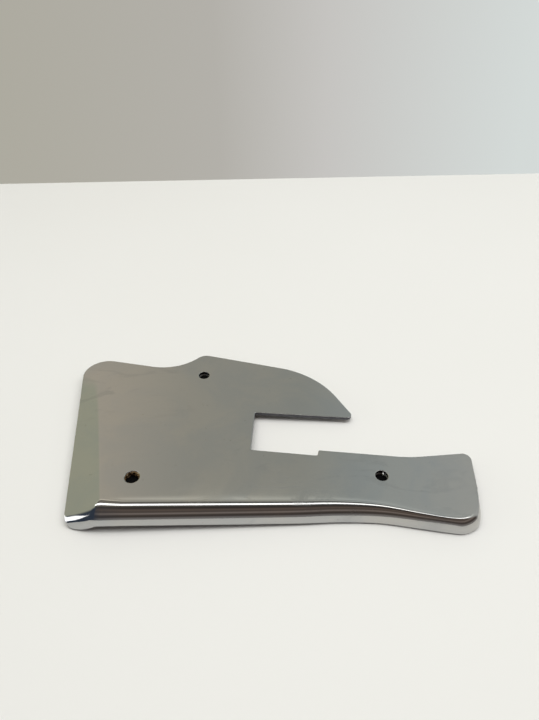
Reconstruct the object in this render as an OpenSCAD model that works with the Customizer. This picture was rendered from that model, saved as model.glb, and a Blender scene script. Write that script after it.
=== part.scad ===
// Shaped metal cover plate: a flat face with a rolled front edge, a bent-down left wing,
// an open notch with a fin above it and an arm to the right of it, and three holes that are
// closed behind by shallow cups.
// Units are millimetres. The parts are drawn in the plane of the face and then laid at rest.

/* [Plate] */
// Thickness of the pressed sheet
sheet_t = 1.6; // [1:0.1:3]
// Height of the face above the table at its front left corner
face_z = 12.13; // [11:0.01:14]
// Fall of the face towards the rear, degrees
fall_rear = 4.57; // [0:0.01:8]
// Fall of the face towards the right, degrees
fall_right = 1.89; // [0:0.01:5]

/* [Notch and arm] */
// Left side of the notch at its rear corner
notch_x = 81.6; // [70:0.1:95]
// Rear side of the notch at that corner
notch_y = 55.5; // [45:0.1:65]
// Front side of the notch at its left corner
notch_floor_y = 30; // [22:0.1:38]
// Where the small step in the notch floor stands
step_x = 111.8; // [95:0.1:130]
// Height of that step
step_h = 3.4; // [1:0.1:6]
// Rear right corner of the arm
arm_x = 186.1; // [170:0.1:200]

/* [Front roll and wing] */
// How far the rolled edge turns down on the straight front
roll_depth = 8; // [4:0.1:12]
// How far the left wing drops at the front
wing_drop = 8; // [3:0.1:10]
// Length of the soft bend between face and wing
wing_bend = 1.6; // [0.5:0.1:4]

/* [Holes] */
// Bore of the left hole
left_bore = 7; // [4:0.1:8]
// Bore of the right and upper holes
small_bore = 6; // [4:0.1:8]
// Outside diameter of the cups under the holes
cup_od = 10; // [9:0.1:14]
// How far the cups stand below the sheet
cup_h = 1.5; // [0.8:0.1:1.5]
// Thickness of the cups' floors
cup_floor = 0.4; // [0.3:0.1:0.8]

/* [Hidden] */
$fn = 64;
left_hole = [25.8, 13];
right_hole = [140.6, 13.9];
upper_hole = [52.8, 85.4];
// stations along the roll: crease x, crease y, lower edge x, lower edge y, depth
roll_stations = [
  [12.8, 0.8, 11.6, -7.6, 0.4],
  [24, 0, 24, -7.6, 0],
  [95, 0, 95, -6.7, -0.1],
  [119, 0, 119, -6.1, -0.3],
  [137, -1.7, 137.6, -6.9, -0.6],
  [153.5, -5.8, 155, -10, -0.9],
  [165, -8.3, 166.3, -12, -1],
  [172, -8.5, 173.2, -12.6, -1],
  [177, -6.4, 179.4, -10, -1.1],
  [179.2, -2.6, 182, -5.2, -2],
  [180.1, 2.4, 182.5, 1.4, -3.6],
  [181, 8, 183.2, 7.7, -5]
];
roll_steps = 5;
profile_steps = 8;
wing_steps = 18;
root = 0.8;
wing_front = [-2.8, -0.6];
wing_rear = [-14.5, 84];
crease_rear = [-7, 84];
bottom_left = [-1.8, -5.4, -11.9];

// a smooth curve through four stations
function along(a, b, c, d, t) =
  0.5 * (2 * b + (c - a) * t + (2 * a - 5 * b + 4 * c - d) * t * t
    + (3 * b - a - 3 * c + d) * t * t * t);
function station(k) = roll_stations[max(0, min(len(roll_stations) - 1, k))];
function roll_at(s) =
  let (k = min(floor(s), len(roll_stations) - 2))
  k < 2
    ? station(k) + (station(k + 1) - station(k)) * (s - k)
    : along(station(k - 1), station(k), station(k + 1), station(k + 2), s - k);
roll_count = (len(roll_stations) - 1) * roll_steps;
roll = [for (i = [0 : roll_count]) roll_at(i / roll_steps)];

// rounded corner at b between a and c
function corner(a, b, c, r) =
  let (
    p = (a - b) / norm(a - b),
    q = (c - b) / norm(c - b),
    half = acos(p * q) / 2,
    reach = r / tan(half),
    mid = b + (p + q) / norm(p + q) * r / sin(half),
    v0 = b + p * reach - mid,
    v1 = b + q * reach - mid,
    a0 = atan2(v0[1], v0[0]),
    turn = atan2(v0[0] * v1[1] - v0[1] * v1[0], v0 * v1),
    n = max(3, ceil(abs(turn) / 5))
  )
  [for (i = [0 : n]) mid + r * [cos(a0 + turn * i / n), sin(a0 + turn * i / n)]];

// corners of the rear outline, anticlockwise from the arm: x, y, radius
rear_corners = [
  [arm_x, 28, 3.6],
  [156, 25, 60],
  [step_x + 0.8, notch_floor_y - 0.5, 0.6],
  [step_x, notch_floor_y - 0.5 - step_h, 0.8],
  [notch_x - 1.7, notch_floor_y - 0.3, 0.8],
  [notch_x, notch_y, 0.6],
  [133.4, 51.5, 2.4],
  [115.8, 86.9, 46],
  [51.2, 104.1, 6],
  [36.4, 90.2, 26],
  [-16.5, 101, 12]
];
first_point = [roll[roll_count][2] + 0.12, roll[roll_count][3] + 0.2];
rear_turns = [for (i = [0 : len(rear_corners) - 1])
  let (
    here = [rear_corners[i][0], rear_corners[i][1]],
    prior = i == 0 ? first_point : [rear_corners[i - 1][0], rear_corners[i - 1][1]],
    next = i == len(rear_corners) - 1 ? wing_rear : [rear_corners[i + 1][0], rear_corners[i + 1][1]]
  )
  corner(prior, here, next, rear_corners[i][2])];
face_outline = concat(
  [for (p = roll) [p[0], p[1]]],
  [first_point],
  [for (turn = rear_turns) each turn],
  [wing_rear],
  [for (i = [wing_steps : -1 : 1]) crease_at(i / wing_steps)]
);

function crease_at(s) = [roll[0][0], roll[0][1]] + (crease_rear - [roll[0][0], roll[0][1]]) * s;
function edge_at(s) =
  let (p = wing_front + (wing_rear - wing_front) * s)
  [p[0], p[1], -wing_drop * (1 - s)];

// section of the wing, from the crease out to its edge, at s along its length
function wing_section(s) =
  let (
    c = [each crease_at(s), 0],
    e = edge_at(s),
    flat = e - c,
    knee = c + [flat[0], flat[1], 0] / norm([flat[0], flat[1]]) * wing_bend,
    down = knee + (e - knee) / norm(e - knee) * wing_bend
  )
  [for (i = [0 : profile_steps])
    let (t = i / profile_steps)
    t <= 0.5
      ? c * (1 - 2 * t) * (1 - 2 * t) + knee * 4 * t * (1 - 2 * t) + down * 4 * t * t
      : down + (e - down) * (2 * t - 1)];

// a ring of points round a rolled edge: c is its crease, b its lower edge,
// with a root that reaches back inside the sheet
function roll_ring(c, b) =
  let (
    out = [b[0] - c[0], b[1] - c[1], 0],
    depth = c[2] - b[2],
    reach = norm(out),
    dir = out / reach
  )
  concat(
    [c - dir * root - [0, 0, sheet_t * 0.3]],
    [for (i = [0 : profile_steps])
      let (f = 90 * i / profile_steps)
      c + dir * reach * sin(f) - [0, 0, depth * (1 - cos(f))]],
    [for (i = [profile_steps : -1 : 0])
      let (f = 90 * i / profile_steps)
      c + dir * (reach - sheet_t) * sin(f)
        - [0, 0, sheet_t + (depth - sheet_t) * (1 - cos(f))]],
    [c - dir * root - [0, 0, sheet_t * 0.7]]
  );

// a closed skin over a row of rings with the same number of points
module skin(rings) {
  n = len(rings[0]);
  last = len(rings) - 1;
  half = n / 2;
  points = [for (ring = rings) each ring];
  sides = [for (i = [0 : last - 1], j = [0 : n - 1])
    let (k = (j + 1) % n)
    each [[i * n + j, i * n + k, (i + 1) * n + k], [i * n + j, (i + 1) * n + k, (i + 1) * n + j]]];
  caps = [for (j = [0 : half - 2])
    each [
      [j, n - 1 - j, n - 2 - j],
      [j, n - 2 - j, j + 1],
      [last * n + j, last * n + n - 2 - j, last * n + n - 1 - j],
      [last * n + j, last * n + j + 1, last * n + n - 2 - j]
    ]];
  polyhedron(points = points, faces = concat(sides, caps), convexity = 6);
}

module at_rest() {
  translate([-85.207, -44.945, face_z])
    rotate([0, fall_right, 0])
      rotate([-fall_rear, 0, 0])
        children();
}

module face() {
  translate([0, 0, -sheet_t])
    linear_extrude(sheet_t)
      polygon(face_outline);
}

module front_roll() {
  skin([for (i = [roll_count : -1 : 0])
    let (p = roll[i])
    roll_ring([p[0], p[1], 0], [p[2], p[3], -roll_depth - p[4]])]);
}

module wing() {
  skin([for (i = [0 : wing_steps])
    let (top = wing_section(i / wing_steps))
    concat(top, [for (j = [profile_steps : -1 : 0]) top[j] - [0, 0, sheet_t]])]);
}

// the roll goes on round the front of the wing to its rounded left end
module wing_roll() {
  top = wing_section(0);
  start = [roll[0][2], roll[0][3], -roll_depth - roll[0][4]];
  skin([for (i = [0 : profile_steps])
    let (t = i / profile_steps)
    roll_ring(top[i], start + (bottom_left - start) * t
      + [0, -0.6, -1.2] * 4 * t * (1 - t))]);
}

module cover_plate() {
  color([0.75, 0.75, 0.73])
    at_rest()
      difference() {
        union() {
          face();
          front_roll();
          wing();
          wing_roll();
        }
        translate([left_hole[0], left_hole[1], -sheet_t - 1])
          cylinder(d = left_bore, h = sheet_t + 2);
        translate([right_hole[0], right_hole[1], -sheet_t - 1])
          cylinder(d = small_bore, h = sheet_t + 2);
        translate([upper_hole[0], upper_hole[1], -sheet_t - 1])
          cylinder(d = small_bore, h = sheet_t + 2);
      }
}

module cup(at, bore) {
  at_rest()
    translate([at[0], at[1], -sheet_t - cup_h])
      difference() {
        cylinder(d = cup_od, h = cup_h);
        translate([0, 0, cup_floor])
          cylinder(d = bore, h = cup_h);
      }
}

module left_cup() {
  color([0.42, 0.3, 0.18])
    cup(left_hole, left_bore);
}

module right_cup() {
  color([0.4, 0.4, 0.4])
    cup(right_hole, small_bore);
}

module upper_cup() {
  color([0.3, 0.3, 0.3])
    cup(upper_hole, small_bore);
}

cover_plate();
left_cup();
right_cup();
upper_cup();
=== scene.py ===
import math

import bmesh
import bpy
from mathutils import Matrix, Vector
from mathutils.noise import fractal


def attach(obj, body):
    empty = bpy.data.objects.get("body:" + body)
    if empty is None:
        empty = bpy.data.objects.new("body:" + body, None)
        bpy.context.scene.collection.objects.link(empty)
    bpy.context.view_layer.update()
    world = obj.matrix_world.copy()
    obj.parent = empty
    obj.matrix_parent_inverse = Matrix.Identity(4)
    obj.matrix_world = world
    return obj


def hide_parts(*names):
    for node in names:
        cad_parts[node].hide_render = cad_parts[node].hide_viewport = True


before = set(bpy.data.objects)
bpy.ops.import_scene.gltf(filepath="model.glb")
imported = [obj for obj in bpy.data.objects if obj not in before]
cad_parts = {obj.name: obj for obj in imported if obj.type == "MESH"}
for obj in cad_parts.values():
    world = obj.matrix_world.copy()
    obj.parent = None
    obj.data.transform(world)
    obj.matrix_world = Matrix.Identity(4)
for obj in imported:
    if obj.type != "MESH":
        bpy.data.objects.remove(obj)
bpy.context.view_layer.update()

# The camera stands in front of the plate's long rolled edge and looks down on its face.
# It looks down at the table from about twenty centimetres above it.
camera = bpy.data.objects.new("camera", bpy.data.cameras.new("camera"))
camera.data.lens = 27
camera.data.sensor_width = 36
camera.location = (0.00488, -0.17676, 0.21665)
camera.rotation_euler = (math.radians(47), math.radians(0.868), math.radians(-0.648))
bpy.context.scene.collection.objects.link(camera)
bpy.context.scene.camera = camera
bpy.context.scene.view_settings.view_transform = "Standard"


# Cover plate: one piece of 1.6 mm sheet, pressed, cut to its outline and plated.
# Its long front edge is rolled down, its left side is bent down as a wing, and the roll
# goes on round the wing with a mitre at the corner. All sizes here are in millimetres,
# laid out in the plane of the face, with the lower left corner of the face near zero.
SHEET = 1.6
ROLL_DEPTH = 8.0
WING_DROP = 8.0
WING_BEND = 1.6
MARGIN = 0.5
# the face starts to fall this far before the crease, and by this much
SOFT_START = (3.0, 2.4, 1.8, 1.2, 0.6)
SOFT_DROP = 0.035
HOLES = (((25.8, 13.0), 3.5), ((140.6, 13.9), 3.0), ((52.8, 85.4), 3.0))
# along the roll: crease, lower edge, and how much less than the full depth it turns down
ROLL_STATIONS = (
    (14.4, 0.8, 12.4, -7.6, -0.4),
    (24, 0, 24, -7.6, 0),
    (95, 0, 95, -6.7, 0.1),
    (119, 0, 119, -6.1, 0.3),
    (137, -1.7, 137.6, -6.9, 0.6),
    (153.5, -5.8, 155, -10, 0.9),
    (165, -8.3, 166.3, -12, 1),
    (172, -8.5, 173.2, -12.6, 1),
    (177, -6.4, 179.4, -10, 1.1),
    (180, -2.4, 182, -5.2, 2),
    (181.8, 2.2, 182.6, 1.6, 5),
    (182.7, 8, 183.2, 7.7, 8),
)
# the station from which the roll fades out into the flat edge
FADE_FROM = 9
# how far the mitre line bows towards the roll, half way down
MITRE_BOW = 2.4
# rows of points from one station of the roll to the next, and round the wing's bend
STATION_ROWS = 10
BEND_ROWS = 10
# where the rest of the wing's width is divided, between its bend and its edge
WING_SHARES = (0.2, 0.4, 0.56, 0.7, 0.8, 0.88)
HOLE_SIDES = 72
EDGE_EASE = 0.15
# corners of the cut edge, from the end of the arm round to the left: place and radius
CUT_CORNERS = (
    ((186.1, 28.0), 3.6),
    ((156.0, 25.0), 60.0),
    ((112.6, 29.5), 0.9),
    ((111.8, 26.1), 0.9),
    ((79.9, 29.7), 0.9),
    ((81.6, 55.5), 0.7),
    ((133.4, 51.5), 2.4),
    ((115.8, 86.9), 46.0),
    ((51.2, 104.1), 6.0),
    ((36.4, 90.2), 26.0),
    ((-16.5, 101.0), 12.0),
)
WING_FRONT = Vector((-2.8, -0.6, 0))
WING_REAR = Vector((-14.5, 84, 0))
CREASE_REAR = Vector((-5.4, 84, 0))
ROLL_LEFT_END = Vector((-1.8, -5.4, -11.9))
# the roll's left end is cut round: it keeps this share of its turn at the very end
LEFT_END_REACH = 0.5
# where along the wing's front the rounding starts, and how far its lower edge bows out
ROUND_FROM = 0.72
LOWER_BOW = Vector((0, -0.6, -1.2))


def smooth_row(rows, s):
    """A row between the given rows at s, on a smooth curve; the first two spans are straight."""
    k = min(int(s), len(rows) - 2)
    t = s - k
    a, b, c, d = (rows[max(0, min(len(rows) - 1, k + j))] for j in (-1, 0, 1, 2))
    if k < 2:
        return [p + (q - p) * t for p, q in zip(b, c)]
    return [
        0.5 * (2 * q + (r - p) * t + (2 * p - 5 * q + 4 * r - w) * t * t + (3 * q - p - 3 * r + w) * t**3)
        for p, q, r, w in zip(a, b, c, d)
    ]


def rounded_corner(before, at, after, radius):
    """Points of the arc that rounds a corner of the cut edge."""
    p = (before - at).normalized()
    q = (after - at).normalized()
    half = p.angle(q) / 2
    middle = at + (p + q).normalized() * radius / math.sin(half)
    start = at + p * radius / math.tan(half) - middle
    end = at + q * radius / math.tan(half) - middle
    turn = math.atan2(start.x * end.y - start.y * end.x, start.dot(end))
    steps = max(4, math.ceil(abs(math.degrees(turn)) / 3))
    return [middle + Matrix.Rotation(turn * i / steps, 3, "Z") @ start for i in range(steps + 1)]


def wing_line(s):
    """Points across the wing, from its crease to its edge, at s of its length."""
    crease = roll[0][0].lerp(CREASE_REAR, s)
    edge = WING_FRONT.lerp(WING_REAR, s)
    edge.z = -WING_DROP * (1 - s)
    across = edge - crease
    knee = crease + Vector((across.x, across.y, 0)).normalized() * WING_BEND
    down = knee + (edge - knee).normalized() * WING_BEND
    line = [
        crease * (1 - t) ** 2 + knee * 2 * t * (1 - t) + down * t * t
        for t in [i / BEND_ROWS for i in range(BEND_ROWS + 1)]
    ]
    width = (edge - down).length
    return line + [down.lerp(edge, t) for t in (*WING_SHARES, 1 - MARGIN / width, 1)]


def roll_line(crease, lower, reach=1, steps=28):
    """Points round the roll, from its crease towards its lower edge; reach is its share of the turn."""
    out = Vector((lower.x - crease.x, lower.y - crease.y, 0))
    drop = crease.z - lower.z
    flatness = 1 - min(1, drop / ROLL_DEPTH)
    line = []
    for i in range(steps + 1):
        f = math.pi / 2 * reach * i / steps
        along = (1 - flatness) * math.sin(f) + flatness * reach * i / steps
        line.append(crease + out * along - Vector((0, 0, drop * (1 - math.cos(f)))))
    return line


def soft_start(crease, lower, share):
    """Points on the face before the crease, where it slowly starts to fall."""
    back = Vector((crease.x - lower.x, crease.y - lower.y, 0)).normalized()
    back = wing_way.lerp(back, share).normalized()
    depth = SOFT_DROP * share * min(1, (crease.z - lower.z) / ROLL_DEPTH)
    return [crease + back * d - Vector((0, 0, depth * (1 - d / SOFT_START[0]) ** 2)) for d in SOFT_START]


def inset(loop, by):
    """The closed loop moved in by a small width."""
    moved = []
    for i, p in enumerate(loop):
        a = (p - loop[i - 1]).normalized()
        b = (loop[(i + 1) % len(loop)] - p).normalized()
        side = Vector((-a.y - b.y, a.x + b.x, 0)).normalized()
        moved.append(p + side * by / max(0.4, side.dot(Vector((-a.y, a.x, 0)))))
    return moved


def strip(bm, row_a, row_b):
    """Faces between two rows of vertices."""
    for i in range(len(row_a) - 1):
        corners = []
        for vert in (row_a[i], row_b[i], row_b[i + 1], row_a[i + 1]):
            if vert not in corners:
                corners.append(vert)
        if len(corners) > 2:
            bm.faces.new(corners)


# the roll's crease and lower edge, then the cut edge, then the wing's crease
roll = []
last_station = len(ROLL_STATIONS) - 1
for i in range(last_station * STATION_ROWS + 1):
    station = i / STATION_ROWS
    cx, cy, lx, ly, less = smooth_row(ROLL_STATIONS, station)
    depth = ROLL_DEPTH - less
    if station > FADE_FROM:
        faded = (station - FADE_FROM) / (last_station - FADE_FROM)
        depth = (ROLL_DEPTH - ROLL_STATIONS[FADE_FROM][4]) * (1 + math.cos(math.pi * faded)) / 2
    roll.append((Vector((cx, cy, 0)), Vector((lx, ly, -depth))))
places = [roll[-1][1]] + [Vector((*p, 0)) for p, _ in CUT_CORNERS] + [WING_REAR]
cut_edge = []
for i, (_, radius) in enumerate(CUT_CORNERS):
    cut_edge += rounded_corner(places[i], places[i + 1], places[i + 2], radius)
wing_way = CREASE_REAR - roll[0][0]
soft_steps = [d / wing_way.length for d in reversed(SOFT_START)]
wing_steps = [0] + soft_steps + [i / 40 for i in range(2, 40)] + [0.994, 1]
wing_way.normalize()

skin = bmesh.new()
roll_verts = []
for i, pair in enumerate(roll):
    share = min(1, i / STATION_ROWS)
    line = roll_line(*pair)
    line[0] = line[0] - Vector((0, 0, SOFT_DROP * share * min(1, -pair[1].z / ROLL_DEPTH)))
    for k, p in enumerate(line):
        p.x += MITRE_BOW * (1 - share) ** 2 * math.sin(math.pi * k / (len(line) - 1))
    verts = [skin.verts.new(p) for p in soft_start(*pair, share) + line]
    roll_verts.append(verts)
# the last row lies flat in the face, so it needs only its two ends
for i, vert in enumerate(roll_verts[-1][:-1]):
    if i > len(SOFT_START):
        skin.verts.remove(vert)
        roll_verts[-1][i] = roll_verts[-1][i - 1]
cut_verts = [skin.verts.new(p) for p in cut_edge]
wing_verts = []
soft_count = len(SOFT_START)
for k, s in enumerate(wing_steps):
    line = wing_line(s)
    shared = [roll_verts[0][soft_count - k]] if k <= soft_count else [skin.verts.new(line[0])]
    wing_verts.append(shared + [skin.verts.new(p) for p in line[1:]])
for a, b in zip(roll_verts, roll_verts[1:]):
    strip(skin, b, a)
for a, b in zip(wing_verts, wing_verts[1:]):
    strip(skin, a, b)

# the roll round the front of the wing, from the mitre to its left end
start = roll[0][1]
front_line = wing_line(0)
mitre = roll_verts[0][soft_count:]
previous = mitre
lengths = [0]
for a, b in zip(front_line, front_line[1:]):
    lengths.append(lengths[-1] + (b - a).length)
for i in range(1, len(front_line)):
    t = lengths[i] / lengths[-1]
    turned_in = max(0, t - ROUND_FROM) / (1 - ROUND_FROM)
    lower = start.lerp(ROLL_LEFT_END, t) + LOWER_BOW * 4 * t * (1 - t)
    reach = 1 - (1 - LEFT_END_REACH) * (1 - math.sqrt(1 - turned_in**2))
    line = roll_line(front_line[i], lower, reach)
    verts = [wing_verts[0][i]] + [skin.verts.new(p) for p in line[1:]]
    strip(skin, previous, verts)
    previous = verts

# the flat face, with a narrow margin along its edges so that it stays dead flat inside
face_loop = (
    [row[0] for row in roll_verts]
    + list(dict.fromkeys(roll_verts[-1][1:]))
    + cut_verts
    + wing_verts[-1][::-1]
    + [row[0] for row in wing_verts[-2:soft_count:-1]]
)
inner = []
moved = inset([v.co.copy() for v in face_loop], MARGIN)
for i, place in enumerate(moved):
    ahead = face_loop[i].co - face_loop[i - 1].co
    if inner and (place - inner[-1].co).dot(ahead) <= 0.02 * ahead.length:
        inner.append(inner[-1])
    else:
        inner.append(skin.verts.new(place))
strip(skin, face_loop + face_loop[:1], inner + inner[:1])
inner_once = [v for i, v in enumerate(inner) if v is not inner[i - 1]]
fill_edges = [skin.edges.get((a, b)) for a, b in zip(inner_once, inner_once[1:] + inner_once[:1])]
for (x, y), r in HOLES:
    rings = []
    for radius in (r, r + MARGIN):
        turns = [2 * math.pi * i / HOLE_SIDES for i in range(HOLE_SIDES)]
        places = [(x + radius * math.cos(a), y + radius * math.sin(a), 0) for a in turns]
        rings.append([skin.verts.new(place) for place in places])
    strip(skin, rings[0] + rings[0][:1], rings[1] + rings[1][:1])
    for i in range(HOLE_SIDES):
        fill_edges.append(skin.edges.get((rings[1][i - 1], rings[1][i])))
bmesh.ops.triangle_fill(skin, use_beauty=True, edges=fill_edges, normal=(0, 0, 1))
bmesh.ops.recalc_face_normals(skin, faces=skin.faces)
if sum(f.normal.z * f.calc_area() for f in skin.faces) < 0:
    bmesh.ops.reverse_faces(skin, faces=skin.faces)
for f in skin.faces:
    f.smooth = True
# how the plate leans where it rests, with its highest corner at the front left
at_rest = (
    Matrix.Translation((-0.085207, -0.044945, 0.01213))
    @ Matrix.Rotation(math.radians(1.89), 4, "Y")
    @ Matrix.Rotation(math.radians(-4.57), 4, "X")
    @ Matrix.Scale(0.001, 4)
)
skin.transform(at_rest)
cover_mesh = bpy.data.meshes.new("cover")
skin.to_mesh(cover_mesh)
skin.free()
cover = bpy.data.objects.new("cover", cover_mesh)
bpy.context.scene.collection.objects.link(cover)
thickness = cover.modifiers.new("thickness", "SOLIDIFY")
thickness.thickness = SHEET / 1000
thickness.offset = -1
thickness.material_offset = 2
thickness.material_offset_rim = 1
edges = cover.modifiers.new("edges", "BEVEL")
edges.width = EDGE_EASE / 1000
edges.segments = 2
edges.material = 0
edges.limit_method = "ANGLE"
edges.angle_limit = math.radians(45)
edges.use_clamp_overlap = False


def noise(tree, scale, detail, stretch=(1, 1, 1), roughness=0.55, distortion=0):
    """A noise pattern fixed to the piece, stretched along its axes."""
    where = tree.nodes.new("ShaderNodeTexCoord")
    place = tree.nodes.new("ShaderNodeMapping")
    place.inputs["Scale"].default_value = stretch
    tree.links.new(where.outputs["Object"], place.inputs["Vector"])
    pattern = tree.nodes.new("ShaderNodeTexNoise")
    pattern.inputs["Scale"].default_value = scale
    pattern.inputs["Detail"].default_value = detail
    pattern.inputs["Roughness"].default_value = roughness
    pattern.inputs["Distortion"].default_value = distortion
    tree.links.new(place.outputs["Vector"], pattern.inputs["Vector"])
    return pattern.outputs["Fac"]


def ranged(tree, value, from_min, from_max, to_min, to_max):
    """The value moved from one range to another."""
    node = tree.nodes.new("ShaderNodeMapRange")
    node.interpolation_type = "SMOOTHSTEP"
    node.inputs["From Min"].default_value = from_min
    node.inputs["From Max"].default_value = from_max
    node.inputs["To Min"].default_value = to_min
    node.inputs["To Max"].default_value = to_max
    tree.links.new(value, node.inputs["Value"])
    return node.outputs["Result"]


def sums(tree, kind, a, b):
    """Two values put together by the kind of sum that is named."""
    node = tree.nodes.new("ShaderNodeMath")
    node.operation = kind
    for socket, value in zip(node.inputs, (a, b)):
        if isinstance(value, (int, float)):
            socket.default_value = value
        else:
            tree.links.new(value, socket)
    return node.outputs[0]


def mixed(tree, share, a, b):
    """Two colours mixed by the share."""
    node = tree.nodes.new("ShaderNodeMix")
    node.data_type = "RGBA"
    tree.links.new(share, node.inputs["Factor"])
    for name, colour in (("A", a), ("B", b)):
        if isinstance(colour, tuple):
            node.inputs[name].default_value = (*colour, 1)
        else:
            tree.links.new(colour, node.inputs[name])
    return node.outputs["Result"]


def bumped(tree, height, distance, under=None):
    """The surface's normal, raised by the height."""
    node = tree.nodes.new("ShaderNodeBump")
    node.inputs["Distance"].default_value = distance
    tree.links.new(height, node.inputs["Height"])
    if under:
        tree.links.new(under, node.inputs["Normal"])
    return node.outputs["Normal"]


def metal(name):
    """A new metal finish, with its node tree and its shader."""
    finish = bpy.data.materials.new(name)
    finish.use_nodes = True
    shader = finish.node_tree.nodes["Principled BSDF"]
    shader.inputs["Metallic"].default_value = 1
    return finish, finish.node_tree, shader.inputs


# bright plating, a little clouded, with old smears and hairline scratches; the warm and cool clouds of its
# tone and its darker smear patches are partly real haze and smears, partly painted reflection of the room
plated, tree, shader = metal("plated_sheet")
haze_and_reflection_tint = noise(tree, 26, 5, roughness=0.6, distortion=0.6)
smears_and_reflection_patches = ranged(tree, noise(tree, 30, 6, (1, 2.4, 1), 0.62, 1.2), 0.52, 0.64, 0, 1)
smears_and_reflection_patches = sums(tree, "MULTIPLY", smears_and_reflection_patches, ranged(tree, noise(tree, 11, 2), 0.45, 0.62, 0, 1))
hairlines = ranged(tree, noise(tree, 60, 4, (0.35, 9, 3), 0.7, 0.3), 0.66, 0.74, 0, 1)
specks = ranged(tree, noise(tree, 620, 2, roughness=0.5), 0.72, 0.78, 0, 1)
# painted reflection, in part: the clouds of warm and cool tone stand in for the room mirrored in the face
tone = mixed(tree, ranged(tree, haze_and_reflection_tint, 0.38, 0.64, 0, 1), (0.485, 0.49, 0.49), (0.525, 0.515, 0.495))
# painted reflection, in part: the darker smear patches stand in for dark things mirrored in the face
tone = mixed(tree, sums(tree, "MULTIPLY", smears_and_reflection_patches, 0.3), tone, (0.35, 0.355, 0.36))
tone = mixed(tree, sums(tree, "MULTIPLY", specks, 0.4), tone, (0.25, 0.22, 0.18))
tree.links.new(tone, shader["Base Color"])
dull = sums(tree, "ADD", ranged(tree, haze_and_reflection_tint, 0.4, 0.68, 0.05, 0.1), sums(tree, "MULTIPLY", smears_and_reflection_patches, 0.12))
dull = sums(tree, "ADD", dull, sums(tree, "MULTIPLY", hairlines, 0.05))
tree.links.new(dull, shader["Roughness"])
relief = bumped(tree, noise(tree, 16, 1), 0.00008)
relief = bumped(tree, hairlines, 0.0000015, relief)
tree.links.new(relief, shader["Normal"])

# the sheared edge: dark grey, with the fine upright lines that the shears leave
sheared, tree, shader = metal("sheared_edge")
lines = noise(tree, 900, 3, (1, 1, 0.08))
tree.links.new(mixed(tree, lines, (0.05, 0.05, 0.055), (0.16, 0.16, 0.18)), shader["Base Color"])
tree.links.new(ranged(tree, lines, 0.3, 0.7, 0.38, 0.6), shader["Roughness"])
tree.links.new(bumped(tree, lines, 0.00004), shader["Normal"])

# the inside, which was never polished: dull plating with brown bloom in patches
inside, tree, shader = metal("unpolished_inside")
bloom = noise(tree, 40, 6, roughness=0.65, distortion=0.8)
tone = mixed(tree, ranged(tree, bloom, 0.45, 0.7, 0, 1), (0.42, 0.43, 0.45), (0.3, 0.24, 0.18))
tree.links.new(tone, shader["Base Color"])
tree.links.new(ranged(tree, bloom, 0.3, 0.7, 0.32, 0.55), shader["Roughness"])
tree.links.new(bumped(tree, noise(tree, 700, 3), 0.00005), shader["Normal"])
for finish in (plated, sheared, inside):
    cover_mesh.materials.append(finish)
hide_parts("cover_plate")
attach(cover, "root")


# Cups: three shallow steel cups fixed behind the holes, which make the holes blind.
# Each is turned, with an eased outer edge and fine tool rings; its floor is painted almost black, a painted
# shade for the depth of the hole.
# The left one has rusted, and a brown crust has grown up the wall of its hole in lumps.
CUP_RADIUS = 5.0
CUP_FOOT = -3.1
CUP_FLOOR = -2.7
CUP_SIDES = 96
TOOL_RINGS = 24
CHIP_ROWS = 9
CHIP_SIDES = 10
CUP_OUTSIDE = (
    (0.02, CUP_FOOT), (2.5, CUP_FOOT), (CUP_RADIUS - 0.3, CUP_FOOT), (CUP_RADIUS - 0.09, CUP_FOOT + 0.09),
    (CUP_RADIUS, CUP_FOOT + 0.3), (CUP_RADIUS, -1.85), (CUP_RADIUS - 0.07, -1.69), (CUP_RADIUS - 0.25, -1.62),
)


def turned(profile, reach):
    """A closed form turned round its axis; reach gives each point's distance from it."""
    bm = bmesh.new()
    rings = []
    for k, (radius, height) in enumerate(profile):
        turns = [2 * math.pi * i / CUP_SIDES for i in range(CUP_SIDES)]
        places = [(reach(radius, a, height, k), a) for a in turns]
        rings.append([bm.verts.new((r * math.cos(a), r * math.sin(a), height)) for r, a in places])
    for low, high in zip(rings, rings[1:]):
        for i in range(CUP_SIDES):
            face = bm.faces.new((low[i - 1], low[i], high[i], high[i - 1]))
            face.material_index = int(CUP_FLOOR - 0.1 < high[0].co.z < CUP_FLOOR + 0.12)
    for ring in (rings[0], rings[-1]):
        bm.faces.new(ring).material_index = int(ring is rings[-1])
    bmesh.ops.recalc_face_normals(bm, faces=bm.faces)
    return bm


def cup_piece(name, bm, at, finishes):
    """The cup as a piece in its place behind its hole."""
    for face in bm.faces:
        face.smooth = True
    bm.transform(at_rest @ Matrix.Translation((*at, 0)))
    mesh = bpy.data.meshes.new(name)
    bm.to_mesh(mesh)
    bm.free()
    mesh.set_sharp_from_angle(angle=math.radians(38))
    for finish in finishes:
        mesh.materials.append(finish)
    piece = bpy.data.objects.new(name, mesh)
    bpy.context.scene.collection.objects.link(piece)
    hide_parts(name)
    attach(piece, "root")


def crusted(radius, angle, height, k):
    """The rusty wall: it stands in from the hole's wall in lumps of its own size."""
    if k < CRUST_START or height < CUP_FLOOR + 0.12:
        return radius
    spot = Vector((math.cos(angle), math.sin(angle), 0)) * 2.2 + Vector((0, 0, height * 1.1))
    lump = 0.3 + 0.8 * fractal(spot, 0.8, 2.2, 4) + 0.4 * max(0, math.cos(angle - 0.9)) ** 3
    heaped = 0.25 + 0.75 * max(0, min(1, 0.5 + math.sin(angle)))
    return radius - max(0.03, min(1.5, lump)) * heaped


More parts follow.
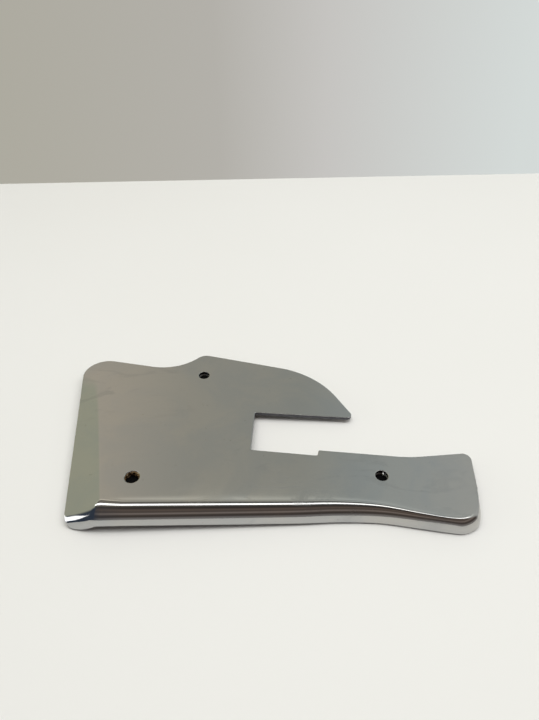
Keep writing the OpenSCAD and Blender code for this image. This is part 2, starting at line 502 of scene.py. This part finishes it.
# rust: brown and ochre grains over near-black, dull and very rough
rust, tree, shader = metal("rusty_crust")
shader["Metallic"].default_value = 0.15
grains = noise(tree, 900, 5, roughness=0.7)
patches = noise(tree, 260, 3, roughness=0.6)
tone = mixed(tree, ranged(tree, patches, 0.4, 0.62, 0, 1), (0.05, 0.026, 0.01), (0.17, 0.105, 0.04))
tone = mixed(tree, ranged(tree, grains, 0.56, 0.7, 0, 1), tone, (0.42, 0.36, 0.24))
tree.links.new(tone, shader["Base Color"])
tree.links.new(ranged(tree, grains, 0.3, 0.7, 0.45, 0.85), shader["Roughness"])
tree.links.new(bumped(tree, grains, 0.00025), shader["Normal"])

# painted shade on the floors of the cups: almost black, with a few paler grains
floor_shade, tree, shader = metal("painted_shade_floor")
shader["Metallic"].default_value = 0
shader["Specular IOR Level"].default_value = 0.08
grains = noise(tree, 1300, 4, roughness=0.7)
# painted shade: the floor colour is near black so that the holes read dark
tone = mixed(tree, ranged(tree, grains, 0.6, 0.75, 0, 1), (0.003, 0.003, 0.003), (0.02, 0.018, 0.014))
tree.links.new(tone, shader["Base Color"])
tree.links.new(ranged(tree, grains, 0.3, 0.7, 0.8, 0.95), shader["Roughness"])
tree.links.new(bumped(tree, grains, 0.0002), shader["Normal"])

# turned steel, gone dark with age
dark_steel, tree, shader = metal("dark_steel")
stain = noise(tree, 300, 4, roughness=0.6)
tree.links.new(mixed(tree, stain, (0.1, 0.1, 0.095), (0.3, 0.3, 0.29)), shader["Base Color"])
tree.links.new(ranged(tree, stain, 0.3, 0.7, 0.3, 0.55), shader["Roughness"])
tree.links.new(bumped(tree, noise(tree, 500, 2, (1, 1, 6)), 0.00006), shader["Normal"])

(left_at, left_bore), (right_at, small_bore), (upper_at, _) = HOLES
CRUST_START = len(CUP_OUTSIDE)
crust_up = [(left_bore - 0.02, -SHEET - 0.02), (left_bore - 0.02, -0.22)]
crust_down = [(left_bore, -0.16 - 2.4 * i / 20) for i in range(21)]
floor = [(2.4, CUP_FLOOR + 0.04), (1.2, CUP_FLOOR + 0.02), (0.02, CUP_FLOOR)]
left_form = turned([*CUP_OUTSIDE, *crust_up, *crust_down, *floor],
                   lambda r, a, h, k: r if k < CRUST_START + 2 else crusted(r, a, h, k))
cup_piece("left_cup", left_form, left_at, (rust, floor_shade))

# the other two bores keep their tool rings
rings_down = []
for i in range(TOOL_RINGS):
    rings_down.append((small_bore - 0.05 * (i % 2), -SHEET - 0.02 - 1.0 * i / (TOOL_RINGS - 1)))
for name, at in (("right_cup", right_at), ("upper_cup", upper_at)):
    form = turned([*CUP_OUTSIDE, (small_bore + 0.1, -SHEET - 0.01), *rings_down, *floor],
                  lambda r, a, h, k: r)
    if name == "right_cup":
        # a bright chip, raised when the hole was cut, leans in from its far side
        chip = []
        for j in range(CHIP_ROWS):
            t = j / (CHIP_ROWS - 1)
            middle = Vector((1.3 - 0.45 * t, 2.75 - 1.8 * t, -0.2 - 0.7 * t - 0.12 * math.sin(math.pi * t)))
            wide = 0.26 * math.sin(math.pi * (0.18 + 0.64 * t))
            ring = [middle + Vector((wide * math.cos(a), 0, 0.07 * math.sin(a)))
                    for a in [2 * math.pi * m / CHIP_SIDES for m in range(CHIP_SIDES)]]
            chip.append([form.verts.new(p) for p in ring])
        for low, high in zip(chip, chip[1:]):
            for m in range(CHIP_SIDES):
                form.faces.new((low[m - 1], low[m], high[m], high[m - 1])).material_index = 2
        for ring in (chip[0], chip[-1]):
            form.faces.new(ring).material_index = 2
        bmesh.ops.recalc_face_normals(form, faces=form.faces)
    cup_piece(name, form, at, (dark_steel, floor_shade, plated))


# Table: a smooth white board, wide, painted, with faint clouds in its paint.
# Its far edge is a hand's width behind the plate.
table_mesh = bpy.data.meshes.new("table")
board = bmesh.new()
bmesh.ops.create_grid(board, x_segments=1, y_segments=1, size=1)
board.transform(Matrix.Translation((0, -0.86, 0)) @ Matrix.Diagonal((2.2, 1.16, 1, 1)))
board.to_mesh(table_mesh)
board.free()
table = bpy.data.objects.new("table", table_mesh)
bpy.context.scene.collection.objects.link(table)
table_paint = bpy.data.materials.new("table_top")
table_paint.use_nodes = True
tree = table_paint.node_tree
shader = tree.nodes["Principled BSDF"].inputs
cloud = noise(tree, 3, 3)
tree.links.new(mixed(tree, cloud, (0.79, 0.785, 0.755), (0.815, 0.81, 0.785)), shader["Base Color"])
tree.links.new(ranged(tree, cloud, 0.3, 0.7, 0.45, 0.6), shader["Roughness"])
table_mesh.materials.append(table_paint)


# Lights: a long narrow panel above the plate, which shows as a line along the roll,
# a panel low on the left, and a broad soft one that only lights the table. The camera
# sees none of them directly.


def soft_panel(name, place, size, watts, facing=(0, 0, -1), shines=True):
    """A soft rectangular light; where it doesn't shine, the plating doesn't mirror it."""
    lamp = bpy.data.objects.new(name, bpy.data.lights.new(name, "AREA"))
    lamp.data.shape = "RECTANGLE"
    lamp.data.size, lamp.data.size_y = size
    lamp.data.energy = watts
    lamp.location = place
    lamp.rotation_euler = Vector(facing).to_track_quat("-Z", "Y").to_euler()
    lamp.visible_glossy = shines
    lamp.visible_camera = False
    bpy.context.scene.collection.objects.link(lamp)


soft_panel("ceiling_light", (0, 0.115, 1.2), (1.9, 0.24), 3.8)
soft_panel("left_light", (-1.2, -0.3, 0.23), (0.74, 0.4), 2.1, facing=(1, 0, 0))
soft_panel("soft_fill", (0.35, 0.1, 1.1), (1.8, 1.0), 11.5, shines=False)

# Studio: plain pale walls in smooth steps of tone, warmer on the left and cooler on the
# right, with a bright band under the ceiling, and darker in front, where no light stands.
# What the camera sees behind the table is a separate pale backdrop, which shades from
# left to right and isn't what the plating mirrors.
room = bpy.data.worlds.new("studio")
bpy.context.scene.world = room
room.use_nodes = True
tree = room.node_tree
tree.nodes.clear()
direction = tree.nodes.new("ShaderNodeTexCoord").outputs["Generated"]
split = tree.nodes.new("ShaderNodeSeparateXYZ")
tree.links.new(direction, split.inputs["Vector"])
x, y, z = split.outputs


def ramp(value, low, high, *steps):
    """Colours set along a value, from low to high."""
    node = tree.nodes.new("ShaderNodeValToRGB")
    share = sums(tree, "DIVIDE", sums(tree, "SUBTRACT", value, low), high - low)
    tree.links.new(share, node.inputs["Fac"])
    elements = node.color_ramp.elements
    for i, (place, colour) in enumerate(steps):
        step = elements[i] if i < 2 else elements.new(1)
        step.position = (place - low) / (high - low)
        step.color = (*colour, 1)
    return node.outputs["Color"]


def times(a, b):
    """One colour multiplied by another."""
    node = tree.nodes.new("ShaderNodeMix")
    node.data_type = "RGBA"
    node.blend_type = "MULTIPLY"
    node.inputs["Factor"].default_value = 1
    tree.links.new(a, node.inputs["A"])
    tree.links.new(b, node.inputs["B"])
    return node.outputs["Result"]


tints = ramp(
    x, -1, 1,
    (-1.0, (0.5, 0.51, 0.4)), (-0.42, (0.51, 0.52, 0.41)), (-0.28, (0.61, 0.56, 0.47)),
    (-0.1, (0.47, 0.46, 0.4)),
    (0.1, (0.425, 0.435, 0.395)), (0.24, (0.46, 0.5, 0.49)), (0.4, (0.54, 0.56, 0.54)),
    (1.0, (0.58, 0.6, 0.59)),
)
heights = ramp(
    z, 0, 1,
    (0.0, (1.0,) * 3), (0.74, (1.0,) * 3), (0.768, (1.7,) * 3), (0.788, (1.7,) * 3),
    (0.803, (0.45,) * 3), (0.92, (0.4,) * 3), (1.0, (0.5,) * 3),
)
far_side = times(tints, heights)
near_side = ramp(
    z, 0, 1,
    (0.0, (0.3, 0.29, 0.28)), (0.12, (0.27, 0.25, 0.24)), (0.3, (0.075, 0.062, 0.055)),
    (0.45, (0.1, 0.08, 0.068)), (0.6, (0.3, 0.25, 0.225)), (0.72, (0.11, 0.088, 0.075)),
    (0.85, (0.17, 0.132, 0.11)), (0.95, (0.06, 0.05, 0.045)), (1.0, (0.05, 0.045, 0.04)),
)
near_side = mixed(tree, ranged(tree, x, -0.5, -0.22, 1, 0), near_side, (0.05, 0.065, 0.095))
walls = mixed(tree, ranged(tree, y, -0.22, 0.02, 0, 1), near_side, far_side)
backdrop = ramp(
    x, -0.4, 0.4,
    (-0.4, (0.42, 0.405, 0.35)), (-0.08, (0.45, 0.435, 0.4)), (0.1, (0.56, 0.55, 0.53)),
    (0.4, (0.66, 0.7, 0.685)),
)
seen_straight = tree.nodes.new("ShaderNodeLightPath").outputs["Is Camera Ray"]
glow = tree.nodes.new("ShaderNodeBackground")
tree.links.new(mixed(tree, seen_straight, walls, backdrop), glow.inputs["Color"])
end = tree.nodes.new("ShaderNodeOutputWorld")
tree.links.new(glow.outputs["Background"], end.inputs["Surface"])

bpy.context.view_layer.update()
